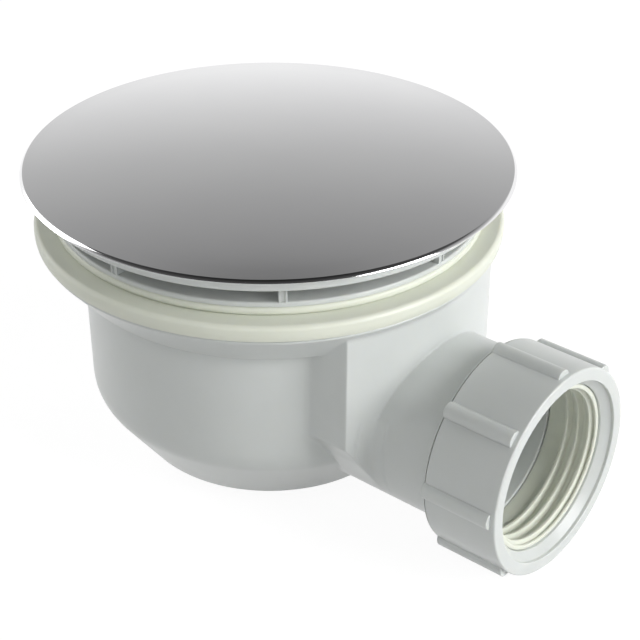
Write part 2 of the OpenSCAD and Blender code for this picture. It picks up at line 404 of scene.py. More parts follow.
def prism_form(outline: Sequence[Point2]) -> Form:
    """Endless bar along X whose section in Y and Z is the outline."""
    return Form(lambda p: polygon_distance(p[:, 1], p[:, 2], outline))


def beyond_form(x: float) -> Form:
    """Everything further along X than a place."""
    return Form(lambda p: x - p[:, 0])


def spread(spans: Sequence[Span]) -> np.ndarray:
    """Values that run through spans of (start, end, step), each without its end."""
    return np.concatenate([np.arange(start, end, step) for start, end, step in spans])


@dataclass
class FormMesher:
    """Turns a form into a mesh of even quads on a grid of rings round the bowl's axis."""

    radii: np.ndarray
    heights: np.ndarray
    angles: np.ndarray
    block: int = 4
    projections: int = 4
    evenings: int = 2
    margin: float = 1.2
    probe: float = 0.05 * MM

    @property
    def columns(self) -> int:
        """Number of columns round the axis."""
        return len(self.angles)

    def build(self, name: str, form: Form) -> bpy.types.Object:
        """Builds the mesh of a form.

        Args:
            name: Name of the new object.
            form: The form whose surface is wanted.

        Returns:
            The finished object, with the form's own normals.
        """
        inside = self._inside(form)
        cells, where = self._cells(inside)
        faces = self._faces(inside, where)
        points = self._settle(form, cells, faces)
        mesh = mesh_of(name, points.tolist(), faces)
        mesh.validate()
        mesh.shade_smooth()
        mesh.normals_split_custom_set_from_vertices(self._gradient(form, points).tolist())
        return add_object(name, mesh)

    def _nodes(self, i: np.ndarray, j: np.ndarray, k: np.ndarray) -> np.ndarray:
        """Places of grid nodes, with fractions allowed.

        Args:
            i: Columns of the nodes.
            j: Rings of the nodes.
            k: Levels of the nodes.

        Returns:
            The places in rows.
        """
        angle = np.interp(i, np.arange(self.columns + 1), np.append(self.angles, self.angles[0] + TURN))
        radius = np.interp(j, np.arange(len(self.radii)), self.radii)
        height = np.interp(k, np.arange(len(self.heights)), self.heights)
        return np.stack([radius * np.cos(angle), radius * np.sin(angle), height], axis=-1)

    def _inside(self, form: Form) -> np.ndarray:
        """Tells which nodes are inside, with the surface's surroundings found on a coarse grid first.

        Args:
            form: The form.

        Returns:
            True or false by column, ring and level.
        """
        shape = (self.columns, len(self.radii), len(self.heights))
        coarse = [np.arange(0, n, self.block) for n in shape]
        grid = np.stack(np.meshgrid(*coarse, indexing="ij"), axis=-1).reshape(-1, 3)
        rough = form.distance(self._nodes(grid[:, 0], grid[:, 1], grid[:, 2]))
        nearest = [np.minimum((np.arange(n) + self.block // 2) // self.block, len(c) - 1)
                   for n, c in zip(shape, coarse)]
        guess = rough.reshape([len(c) for c in coarse])[np.ix_(*nearest)]
        widest = float(max(np.diff(self.radii).max(), np.diff(self.heights).max()))
        inside = guess < 0.0
        active = np.argwhere(np.abs(guess) < self.block * widest * self.margin)
        exact = form.distance(self._nodes(active[:, 0], active[:, 1], active[:, 2]))
        inside[active[:, 0], active[:, 1], active[:, 2]] = exact < 0.0
        return inside

    def _cells(self, inside: np.ndarray) -> tuple[np.ndarray, np.ndarray]:
        """Finds the cells that the surface passes.

        Args:
            inside: Which nodes are inside.

        Returns:
            The cells' middles in grid units, and the grid of the cells' numbers, -1 where there is none.
        """
        wrapped = np.concatenate([inside, inside[:1]], axis=0)
        total = np.zeros((self.columns, inside.shape[1] - 1, inside.shape[2] - 1), np.int8)
        for a in (0, 1):
            for b in (0, 1):
                for c in (0, 1):
                    total += wrapped[a:a + total.shape[0], b:b + total.shape[1], c:c + total.shape[2]]
        mixed = (total > 0) & (total < 8)
        where = np.full(mixed.shape, -1, np.int64)
        where[mixed] = np.arange(int(mixed.sum()))
        return np.argwhere(mixed) + 0.5, where

    def _faces(self, inside: np.ndarray, where: np.ndarray) -> list[list[int]]:
        """Makes a face round every grid edge that crosses the surface.

        Args:
            inside: Which nodes are inside.
            where: The grid of the cells' numbers.

        Returns:
            The faces, each as the numbers of its cells, pointing outwards.
        """
        last = np.roll(where, 1, axis=0)
        along_i = inside != np.roll(inside, -1, axis=0)
        along_j = inside[:, :-1] != inside[:, 1:]
        along_k = inside[:, :, :-1] != inside[:, :, 1:]
        rounds = (
            (along_i[:, 1:-1, 1:-1], inside[:, 1:-1, 1:-1],
             (where[:, :-1, :-1], where[:, 1:, :-1], where[:, 1:, 1:], where[:, :-1, 1:])),
            (along_j[:, :, 1:-1], inside[:, :-1, 1:-1],
             (last[:, :, :-1], last[:, :, 1:], where[:, :, 1:], where[:, :, :-1])),
            (along_k[:, 1:-1], inside[:, 1:-1, :-1],
             (last[:, :-1], where[:, :-1], where[:, 1:], last[:, 1:])))
        faces: list[list[int]] = []
        for crossed, solid, around in rounds:
            quads = np.stack(around, axis=-1)[crossed]
            # Columns, rings and levels make a left-handed grid
            faces += np.where(solid[crossed][:, None], quads[:, ::-1], quads).tolist()
        for k in np.flatnonzero(along_k[0, 0]):
            ring = where[:, 0, k].tolist()
            faces.append(ring if inside[0, 0, k] else ring[::-1])
        return faces

    def _settle(self, form: Form, cells: np.ndarray, faces: list[list[int]]) -> np.ndarray:
        """Brings the cells' points onto the surface and evens them out.

        Args:
            form: The form.
            cells: The cells' middles in grid units.
            faces: The faces between the cells.

        Returns:
            The points in rows.
        """
        points = self._project(form, self._nodes(cells[:, 0], cells[:, 1], cells[:, 2]))
        quads = np.array([f for f in faces if len(f) == 4])
        for _ in range(self.evenings):
            total = np.zeros_like(points)
            count = np.zeros(len(points))
            for a, b in ((0, 1), (1, 2), (2, 3), (3, 0)):
                for s, e in ((a, b), (b, a)):
                    np.add.at(total, quads[:, s], points[quads[:, e]])
                    np.add.at(count, quads[:, s], 1.0)
            mean = total / np.maximum(count, 1.0)[:, None]
            points = self._project(form, np.where(count[:, None] > 2, 0.5 * points + 0.5 * mean, points))
        return points

    def _project(self, form: Form, points: np.ndarray) -> np.ndarray:
        """Steps points along the gradient until they lie on the surface.

        Args:
            form: The form.
            points: The points in rows.

        Returns:
            The moved points.
        """
        limit = float(np.diff(self.radii).max())
        for _ in range(self.projections):
            slope = self._gradient(form, points, unit=False)
            size2 = np.maximum((slope ** 2).sum(axis=1), 1e-6)
            step = slope * (form.distance(points) / size2)[:, None]
            length = np.maximum(np.linalg.norm(step, axis=1), 1e-12)
            points = points - step * np.minimum(1.0, limit / length)[:, None]
        return points

    def _gradient(self, form: Form, points: np.ndarray, unit: bool = True) -> np.ndarray:
        """Gradient of the distance, which is the surface's normal.

        Args:
            form: The form.
            points: The points in rows.
            unit: Whether the gradients get a length of one.

        Returns:
            One gradient for each point.
        """
        slope = np.empty_like(points)
        for axis in range(3):
            offset = np.zeros(3)
            offset[axis] = self.probe
            slope[:, axis] = form.distance(points + offset) - form.distance(points - offset)
        slope /= 2.0 * self.probe
        if unit:
            slope /= np.maximum(np.linalg.norm(slope, axis=1), 1e-9)[:, None]
        return slope


# Turned meshes

@dataclass(frozen=True)
class Lathe:
    """Turns closed outlines into smooth closed meshes."""

    outlet_depth: float
    steps: int = 256
    pole_r: float = 1e-7

    def turn(self, name: str, outline: Sequence[Point2], axis: Axis = Axis.BOWL) -> bpy.types.Object:
        """Turns an outline about one of the trap's two axes.

        Args:
            name: Name of the new object.
            outline: Closed outline as (radius, distance along the axis).
            axis: The axis to turn about.

        Returns:
            The new object, with faces outward and closed poles.
        """
        points: list[Corner] = []
        rings: list[list[int]] = []
        for radius, height in outline:
            first = len(points)
            if radius < self.pole_r:
                points.append((0.0, 0.0, height))
                rings.append([first] * self.steps)
                continue
            for step in range(self.steps):
                angle = TURN * step / self.steps
                points.append((radius * math.cos(angle), radius * math.sin(angle), height))
            rings.append(list(range(first, first + self.steps)))
        faces = []
        for ring, following in zip(rings, rings[1:] + rings[:1]):
            if ring[0] == ring[1] and following[0] == following[1]:
                continue
            for s in range(self.steps):
                e = (s + 1) % self.steps
                corners = [ring[s], ring[e], following[e], following[s]]
                faces.append(list(dict.fromkeys(corners)))
        if polygon_area(outline) < 0.0:
            faces = [face[::-1] for face in faces]
        mesh = mesh_of(name, points, faces)
        if axis is Axis.OUTLET:
            mesh.transform(self.outlet_matrix())
        return finish_mesh(name, mesh, CRISP)

    def outlet_matrix(self) -> Matrix:
        """Takes a shape about the Z axis to the outlet's axis, with Z to X."""
        return Matrix.Translation((0.0, 0.0, self.outlet_depth)) @ Matrix.Rotation(math.pi / 2.0, 4, "Y")


# Node trees

class Wire:
    """A number in a material's node tree; Python arithmetic on it adds Math nodes."""

    def __init__(self, shade: "Shade", socket: bpy.types.NodeSocket) -> None:
        """Keeps the tree and the socket."""
        self.shade = shade
        self.socket = socket

    def _math(self, operation: str, *values: Any) -> "Wire":
        """Adds a Math node on the given values."""
        node = self.shade.node("ShaderNodeMath", dict(enumerate(values)), operation=operation)
        return Wire(self.shade, node.outputs[0])

    def __add__(self, other: Any) -> "Wire":
        """Sum."""
        return self._math("ADD", self, other)

    def __radd__(self, other: Any) -> "Wire":
        """Sum with a plain number first."""
        return self._math("ADD", other, self)

    def __sub__(self, other: Any) -> "Wire":
        """Difference."""
        return self._math("SUBTRACT", self, other)

    def __rsub__(self, other: Any) -> "Wire":
        """Difference from a plain number."""
        return self._math("SUBTRACT", other, self)

    def __mul__(self, other: Any) -> "Wire":
        """Product."""
        return self._math("MULTIPLY", self, other)

    def __rmul__(self, other: Any) -> "Wire":
        """Product with a plain number first."""
        return self._math("MULTIPLY", other, self)

    def clamp(self, low: float = 0.0, high: float = 1.0) -> "Wire":
        """Keeps the value between two limits."""
        return self._math("MINIMUM", self._math("MAXIMUM", self, low), high)


def add_node(tree: bpy.types.NodeTree, kind: str, links: Links, settings: dict[str, Any],
             stops: Sequence[Point2] = ()) -> bpy.types.Node:
    """Adds a node to a tree.

    Args:
        tree: The node tree.
        kind: The node's type name.
        links: Socket name or number to a Wire, a socket or a plain value.
        settings: Properties of the node, set first.
        stops: Places and greys of a colour ramp.

    Returns:
        The new node.
    """
    made = tree.nodes.new(kind)
    for key, value in settings.items():
        setattr(made, key, value)
    for i, (place, grey) in enumerate(stops):
        elements = made.color_ramp.elements
        element = elements[i] if i < len(elements) else elements.new(1.0)
        element.position = place
        element.color = (grey, grey, grey, 1.0)
    for key, value in links.items():
        if isinstance(value, Wire):
            value = value.socket
        if isinstance(value, bpy.types.NodeSocket):
            tree.links.new(value, made.inputs[key])
        else:
            made.inputs[key].default_value = value
    return made


@dataclass
class Recipe:
    """A geometry node tree that is filled in, applied to an object and thrown away."""

    name: str
    tree: bpy.types.NodeTree = field(init=False)
    values: dict[str, Any] = field(init=False, default_factory=dict)

    def __post_init__(self) -> None:
        """Makes the empty tree with its output."""
        self.tree = bpy.data.node_groups.new(self.name, "GeometryNodeTree")
        self.tree.interface.new_socket("Geometry", in_out="OUTPUT", socket_type="NodeSocketGeometry")
        self.entry = self.tree.nodes.new("NodeGroupInput")
        self.exit = self.tree.nodes.new("NodeGroupOutput")

    def size(self, name: str, value: Any, kind: str = "NodeSocketFloat") -> bpy.types.NodeSocket:
        """Adds a named input with the value it gets.

        Args:
            name: Name of the input.
            value: Value set on the modifier.
            kind: Socket type of the input.

        Returns:
            The socket that gives the value inside the tree.
        """
        item = self.tree.interface.new_socket(name, in_out="INPUT", socket_type=kind)
        self.values[item.identifier] = value
        return next(s for s in self.entry.outputs if s.identifier == item.identifier)

    def node(self, kind: str, links: Links | None = None, **settings: Any) -> bpy.types.Node:
        """Adds a node, as add_node says."""
        return add_node(self.tree, kind, links or {}, settings)

    def finish(self, geometry: bpy.types.NodeSocket, material: bpy.types.Material) -> bpy.types.Object:
        """Ends the tree and runs it once.

        Args:
            geometry: Socket of the tree's last shape.
            material: Material that the result gets.

        Returns:
            An object whose mesh is the tree's result.
        """
        plain = self.node("GeometryNodeRealizeInstances", {"Geometry": geometry})
        dressed = self.node("GeometryNodeSetMaterial", {"Geometry": plain.outputs[0], "Material": material})
        self.tree.links.new(dressed.outputs[0], self.exit.inputs[0])
        holder = add_object(self.name, bpy.data.meshes.new(self.name))
        modifier = holder.modifiers.new(self.name, "NODES")
        modifier.node_group = self.tree
        for identifier, value in self.values.items():
            modifier[identifier] = value
        mesh = applied_mesh(holder)
        holder.modifiers.remove(modifier)
        holder.data = mesh
        return holder


def ring_of(template: bpy.types.Object, count: int, material: bpy.types.Material,
            place: Matrix) -> bpy.types.Object:
    """Repeats a template evenly round the Z axis, then places the ring.

    Args:
        template: Object at its place in the ring for angle zero; it is removed afterwards.
        count: How many there are.
        material: Material of the result.
        place: Where the finished ring goes.

    Returns:
        The ring as one object.
    """
    recipe = Recipe(template.name + "_ring")
    shape = recipe.size("Template", template, "NodeSocketObject")
    number = recipe.size("Count", count, "NodeSocketInt")
    part = recipe.node("GeometryNodeObjectInfo", {"Object": shape}, transform_space="ORIGINAL")
    points = recipe.node("GeometryNodePoints", {"Count": number})
    index = recipe.node("GeometryNodeInputIndex")
    share = recipe.node("ShaderNodeMath", {0: index.outputs[0], 1: number}, operation="DIVIDE")
    angle = recipe.node("ShaderNodeMath", {0: share.outputs[0], 1: TURN}, operation="MULTIPLY")
    spin = recipe.node("ShaderNodeCombineXYZ", {"Z": angle.outputs[0]})
    copies = recipe.node("GeometryNodeInstanceOnPoints", {
        "Points": points.outputs[0], "Instance": part.outputs["Geometry"], "Rotation": spin.outputs[0]})
    ring = recipe.finish(copies.outputs[0], material)
    ring.data.transform(place)
    ring.data.shade_smooth()
    ring.data.set_sharp_from_angle(angle=CRISP)
    bpy.data.objects.remove(template)
    return ring


# Materials

class Shade:
    """Builds one node tree of shader nodes."""

    def __init__(self, tree: bpy.types.NodeTree) -> None:
        """Starts with an empty tree."""
        self.tree = tree
        tree.nodes.clear()

    def node(self, kind: str, links: Links | None = None, stops: Sequence[Point2] = (),
             **settings: Any) -> bpy.types.Node:
        """Adds a node, as add_node says."""
        return add_node(self.tree, kind, links or {}, settings, stops)

    def noise(self, scale: float, detail: float, roughness: float) -> Wire:
        """Noise in object space, from 0 to 1.

        Args:
            scale: Waves per metre.
            detail: Number of finer layers.
            roughness: Strength of the finer layers.

        Returns:
            The noise.
        """
        place = self.node("ShaderNodeTexCoord").outputs["Object"]
        links = {"Vector": place, "Scale": scale, "Detail": detail, "Roughness": roughness}
        return Wire(self, self.node("ShaderNodeTexNoise", links).outputs["Fac"])

    def mix(self, factor: Wire, first: Sequence[float], second: Sequence[float]) -> bpy.types.NodeSocket:
        """Mixes two colours."""
        return self.node("ShaderNodeMix", {0: factor, 6: first, 7: second}, data_type="RGBA").outputs[2]


@dataclass(frozen=True)
class Finish:
    """A finish with fine surface detail.

    The colour drifts between two close tones, the roughness varies a little and a fine grain lifts the
    surface.
    """

    name: str
    tone: tuple[float, float, float]
    second_tone: tuple[float, float, float]
    roughness: float
    roughness_drift: float = 0.05
    metallic: float = 0.0
    drift_scale: float = 60.0
    drift_contrast: float = 1.8
    grain_scale: float = 1800.0
    grain_height: float = 0.004 * MM
    grain_share: float = 0.6
    ior: float = 1.49
    subsurface: float = 0.0
    subsurface_reach: tuple[float, float, float] = (1.0, 0.95, 0.8)
    subsurface_depth: float = 1.5 * MM
    smoothest: float = 0.03

    def build(self) -> bpy.types.Material:
        """Makes the material.

        Returns:
            The new material.
        """
        material = bpy.data.materials.new(self.name)
        material.use_nodes = True
        shade = Shade(material.node_tree)
        drift = shade.noise(self.drift_scale, 4.0, 0.55)
        share = ((drift - 0.5) * self.drift_contrast + 0.5).clamp()
        colour = shade.mix(share, (*self.tone, 1.0), (*self.second_tone, 1.0))
        fine = shade.noise(self.grain_scale, 2.0, 0.6)
        fine_drift = self.roughness_drift * self.grain_share
        rough = self.roughness + (drift - 0.5) * self.roughness_drift + (fine - 0.5) * fine_drift
        bump = shade.node("ShaderNodeBump", {"Height": fine, "Strength": 1.0, "Distance": self.grain_height})
        surface = shade.node("ShaderNodeBsdfPrincipled", {
            "Base Color": colour, "Roughness": rough.clamp(self.smoothest, 1.0), "Normal": bump.outputs[0],
            "Metallic": self.metallic, "IOR": self.ior})
        if self.subsurface > 0.0:
            surface.inputs["Subsurface Weight"].default_value = self.subsurface
            surface.inputs["Subsurface Radius"].default_value = self.subsurface_reach
            surface.inputs["Subsurface Scale"].default_value = self.subsurface_depth
        shade.node("ShaderNodeOutputMaterial", {"Surface": surface.outputs[0]})
        return material


FINISHES = {
    Slot.CHROME: Finish("chrome", (0.90, 0.90, 0.905), (0.87, 0.87, 0.88), 0.09, 0.03, metallic=1.0,
                        drift_scale=40.0, grain_scale=900.0, grain_height=0.0006 * MM),
    Slot.PLASTIC: Finish("white_plastic", (0.635, 0.660, 0.645), (0.605, 0.630, 0.615), 0.30, 0.08,
                         grain_height=0.003 * MM, subsurface=0.3),
    Slot.GREY: Finish("grey_plastic", (0.52, 0.53, 0.53), (0.47, 0.48, 0.48), 0.45, 0.08),
    Slot.CREAM: Finish("cream_rubber", (0.735, 0.758, 0.664), (0.705, 0.728, 0.634), 0.42, 0.1,
                       grain_height=0.006 * MM, subsurface=0.35),
    Slot.BLACK: Finish("black_rubber", (0.03, 0.03, 0.03), (0.045, 0.045, 0.045), 0.55, 0.1),
    Slot.STEEL: Finish("screw_steel", (0.60, 0.61, 0.62), (0.54, 0.55, 0.56), 0.25, 0.1, metallic=1.0),
    Slot.BRASS: Finish("turned_brass", (0.72, 0.53, 0.22), (0.66, 0.48, 0.20), 0.28, 0.1, metallic=1.0),
}


# Sizes shared by the sub-assemblies

@dataclass(frozen=True)
class Plan:
    """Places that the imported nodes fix, in metres."""

    cover_r: float
    cover_low: float
    cover_top: float
    carrier_r: float
    flange_r: float
    flange_top: float
    upper_seal_r: float
    upper_seal_top: float
    lower_seal_r: float
    body_r: float
    floor: float
    tube_end: float
    outlet_depth: float
    nut_back: float
    nut_front: float
    rib_top_r: float
    seal_back: float
    seal_front: float

    @classmethod
    def from_frame(cls) -> "Plan":
        """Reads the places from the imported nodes' boxes.

        Returns:
            The plan.
        """
        cover, carrier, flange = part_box("cover"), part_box("cover_carrier"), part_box("clamp_flange")
        upper, lower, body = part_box("upper_seal"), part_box("lower_seal"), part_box("trap_body")
        nut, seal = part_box("outlet_nut"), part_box("outlet_seal")
        return cls(
            cover_r=cover[1].y, cover_low=carrier[1].z, cover_top=cover[1].z, carrier_r=carrier[1].y,
            flange_r=flange[1].y, flange_top=flange[1].z, upper_seal_r=upper[1].y, upper_seal_top=upper[1].z,
            lower_seal_r=lower[1].y, body_r=body[1].y, floor=body[0].z, tube_end=body[1].x,
            outlet_depth=(nut[0].z + nut[1].z) / 2.0, nut_back=nut[0].x, nut_front=nut[1].x,
            rib_top_r=(nut[1].z - nut[0].z) / 2.0, seal_back=seal[0].x, seal_front=seal[1].x)


@dataclass
class Workshop:
    """What every sub-assembly needs to make its pieces."""

    plan: Plan
    lathe: Lathe
    materials: dict[Slot, bpy.types.Material]

    def dress(self, piece: bpy.types.Object, slot: Slot, replaced: Sequence[str] = ()) -> None:
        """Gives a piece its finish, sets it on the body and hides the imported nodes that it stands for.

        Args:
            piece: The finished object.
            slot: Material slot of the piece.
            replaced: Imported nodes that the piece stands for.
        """
        piece.data.materials.clear()
        piece.data.materials.append(self.materials[slot])
        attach(piece, ROOT)
        if replaced:
            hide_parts(*replaced)
        log.info("%s: %d faces, %s", piece.name, len(piece.data.polygons), slot.value)


# Sub-assemblies

@dataclass
class Cover:
    """Chromed cover and the white carrier that holds it above the flange."""

    shop: Workshop
    rim_height: float = 0.74 * MM
    rim_inset: float = 0.6 * MM
    lip_bend: float = 2.5 * MM
    lip_start: float = 56.0
    lip_end: float = 34.0
    lip_edge: float = 0.06 * MM
    lip_foot: float = 0.03 * MM
    lip_ease: float = 0.12 * MM
    lip_ease_turn: float = 30.0
    lip_run: float = 0.8 * MM
    crown_steps: int = 16
    sheet: float = 1.2 * MM
    land_r: float = 52.0 * MM
    ring_in_r: float = 54.8 * MM
    legs: int = 8
    leg_width: float = 2.0 * MM
    leg_in_r: float = 46.0 * MM
    leg_inset: float = 0.2 * MM
    leg_lap: float = 0.4 * MM
    leg_round: float = 0.15 * MM
    bead_width: float = 0.5 * MM
    bead_sink: float = 0.2 * MM
    bead_reach: float = 0.35 * MM
    bead_lap: float = 0.3 * MM
    spoke_width: float = 1.6 * MM
    spoke_low: float = 9.5 * MM
    spoke_sink: float = 1.0 * MM
    spoke_lap: float = 0.8 * MM
    spoke_gap: float = 0.02 * MM
    hub_r: float = 7.0 * MM
    hub_bore_r: float = 5.3 * MM
    hub_low: float = 4.0 * MM
    hub_round: float = 0.4 * MM

    def build(self) -> None:
        """Makes the cover and its carrier."""
        self.shop.dress(self.disc(), Slot.CHROME, ["cover"])
        for piece in (self.ring(), self.hub(), self.leg_ring()):
            self.shop.dress(piece, Slot.PLASTIC, ["cover_carrier"])

    def crown(self, reach: float) -> list[Point2]:
        """Line of the crown's surface, from its middle to a radius.

        Args:
            reach: The last radius.

        Returns:
            Points as (radius, height).
        """
        plan = self.shop.plan
        edge = plan.cover_r - self.rim_inset
        rim_top = plan.cover_low + self.rim_height
        rise = plan.cover_top - rim_top
        ball = (edge ** 2 + rise ** 2) / (2.0 * rise)
        radii = [reach * i / self.crown_steps for i in range(self.crown_steps + 1)]
        return [(radius, rim_top + rise - ball + math.sqrt(ball ** 2 - radius ** 2)) for radius in radii]

    def disc(self) -> bpy.types.Object:
        """Crowned disc with its bevelled rim.

        Returns:
            The disc.
        """
        plan = self.shop.plan
        low, bend, ease = plan.cover_low, self.lip_bend, self.lip_ease
        start, end = math.radians(self.lip_start), math.radians(self.lip_end)
        middle = (plan.cover_r - bend * math.cos(end), low + self.lip_edge - bend * math.sin(end))
        lip = arc(middle, bend, self.lip_start, self.lip_end)
        ease_middle = (lip[0][0] - ease * math.cos(start), lip[0][1] - ease * math.sin(start))
        lip = arc(ease_middle, ease, self.lip_start + self.lip_ease_turn, self.lip_start, 4)[:-1] + lip
        foot = [(plan.cover_r - self.lip_foot, low), (self.land_r, low)]
        under = [(radius, height - self.sheet) for radius, height in reversed(self.crown(self.land_r))]
        outline = self.crown(plan.cover_r - self.lip_run) + lip + foot + under
        return self.shop.lathe.turn("cover_disc", outline)

    def ring(self) -> bpy.types.Object:
        """Carrier ring under the cover's edge.

        Returns:
            The ring.
        """
        plan = self.shop.plan
        corners = [(self.ring_in_r, plan.cover_low, 0.0), (self.ring_in_r, CARRIER_LOW, SOFT_ROUND),
                   (plan.carrier_r, CARRIER_LOW, BROAD_ROUND), (plan.carrier_r, plan.cover_low, 0.0)]
        return self.shop.lathe.turn("carrier_ring", rounded(corners))

    def hub(self) -> bpy.types.Object:
        """Tube in the middle of the carrier.

        Returns:
            The tube.
        """
        top = self.shop.plan.cover_low
        corners = [(self.hub_bore_r, top, 0.0), (self.hub_bore_r, self.hub_low, EDGE_ROUND),
                   (self.hub_r, self.hub_low, self.hub_round), (self.hub_r, top, 0.0)]
        return self.shop.lathe.turn("carrier_hub", rounded(corners))

    def leg_ring(self) -> bpy.types.Object:
        """Legs with a bead on each edge, and the spokes that they carry.

        Returns:
            The legs and spokes as one object.
        """
        plan = self.shop.plan
        foot, out = plan.flange_top, plan.flange_r - self.leg_inset
        half, bead = self.leg_width / 2, self.bead_width
        boxes = [box_mesh((self.leg_in_r, -half, foot), (out, half, self.spoke_low + self.leg_lap))]
        for side in (-1, 1):
            middle = side * (half - bead / 2)
            boxes.append(box_mesh((out - self.bead_sink, middle - bead / 2, foot),
                                  (out + self.bead_reach, middle + bead / 2, CARRIER_LOW + self.bead_lap)))
        boxes.append(box_mesh(
            (self.hub_r - self.spoke_sink, -self.spoke_width / 2, self.spoke_low),
            (self.ring_in_r + self.spoke_lap, self.spoke_width / 2, plan.cover_low - self.spoke_gap)))
        template = join_boxes("carrier_leg", boxes, self.leg_round)
        return ring_of(template, self.legs, self.shop.materials[Slot.PLASTIC], Matrix.Identity(4))


@dataclass
class Clamp:
    """Clamp flange with the two seals that grip the tray."""

    shop: Workshop
    skirt_r: float = 44.0 * MM
    skirt_wall: float = 2.0 * MM
    skirt_lip: float = 1.0 * MM
    dish_edge: float = 0.6 * MM
    dish_edge_round: float = 1.2 * MM
    dish_foot: float = 2.2 * MM
    dish_foot_round: float = 1.0 * MM
    rim_top_round: float = 0.45 * MM
    rim_low_round: float = 0.25 * MM
    ledge_top: float = -1.6 * MM
    ledge_low: float = -4.6 * MM
    throat_r: float = 31.9 * MM
    throat_wall: float = 1.8 * MM
    throat_low: float = -12.0 * MM
    throat_round: float = 0.6 * MM
    seat_r: float = 33.5 * MM
    seat: float = -4.0 * MM
    flat_seal_gap: float = 0.3 * MM
    flat_seal_curve: float = 0.45
    seal_top_round: float = 1.2 * MM
    seal_waist: float = 1.9 * MM
    seal_bulge: float = 5.8 * MM
    seal_bulge_start: float = -0.5
    seal_bore_gap: float = 2.5 * MM
    seal_line: float = 0.3 * MM
    seal_line_lap: float = 0.1 * MM
    seal_line_depth: float = 1.2 * MM

    def build(self) -> None:
        """Makes the seals and the flange."""
        self.shop.dress(self.upper_seal(), Slot.CREAM, ["upper_seal"])
        self.shop.dress(self.lower_seal(), Slot.CREAM, ["lower_seal"])
        self.shop.dress(self.flange(), Slot.PLASTIC, ["clamp_flange"])

    def flange(self) -> bpy.types.Object:
        """Dished clamping ring with its throat.

        Returns:
            The flange.
        """
        plan = self.shop.plan
        rim, top, under = plan.flange_r, plan.flange_top, plan.upper_seal_top
        skirt, skirt_in = self.skirt_r, self.skirt_r - self.skirt_wall
        skirt_low = self.ledge_low - self.skirt_lip
        throat, throat_out = self.throat_r, self.throat_r + self.throat_wall
        corners = [(skirt, under, 0.0), (rim, under, self.rim_low_round), (rim, top, self.rim_top_round),
                   (skirt - self.dish_edge, top, self.dish_edge_round),
                   (skirt - self.dish_foot, self.ledge_top, self.dish_foot_round),
                   (self.seat_r, self.ledge_top, EDGE_ROUND), (self.seat_r, self.seat, 0.0),
                   (throat, self.seat, EDGE_ROUND), (throat, self.throat_low, EDGE_ROUND),
                   (throat_out, self.throat_low, self.throat_round),
                   (throat_out, self.ledge_low, BROAD_ROUND), (skirt_in, self.ledge_low, 0.0),
                   (skirt_in, skirt_low, 0.0), (skirt, skirt_low, EDGE_ROUND)]
        return self.shop.lathe.turn("flange", rounded(corners))

    def upper_seal(self) -> bpy.types.Object:
        """Flat seal between the flange and the tray.

        Returns:
            The seal.
        """
        bore, out = self.skirt_r + self.flat_seal_gap, self.shop.plan.upper_seal_r
        thick = self.shop.plan.upper_seal_top
        curve = thick * self.flat_seal_curve
        corners = [(bore, 0.0, FINE_ROUND), (out, 0.0, curve), (out, thick, curve), (bore, thick, FINE_ROUND)]
        return self.shop.lathe.turn("flat_seal", rounded(corners, 6))

    def lower_seal(self) -> bpy.types.Object:
        """Thick seal whose edge is rounded, with a thin gap under it that shows as a dark line.

        Returns:
            The seal.
        """
        plan = self.shop.plan
        out, low, bulge, top_round = plan.lower_seal_r, LOWER_SEAL_LOW, self.seal_bulge, self.seal_top_round
        fall = math.degrees(math.asin((-low - self.seal_waist) / bulge))
        edge = arc((out - top_round, -top_round), top_round, 90.0, 0.0)
        edge += arc((out - bulge, -self.seal_waist), bulge, self.seal_bulge_start, -fall, 6)
        inner = self.skirt_r + self.seal_bore_gap
        step = (plan.body_r - self.seal_line_depth, low + self.seal_line)
        edge = [point for point in edge if point[1] > step[1]]
        edge += [(plan.body_r + self.seal_line_lap, step[1]), step, (step[0], low)]
        return self.shop.lathe.turn("profile_seal", [(inner, 0.0), *edge, (inner, low)])


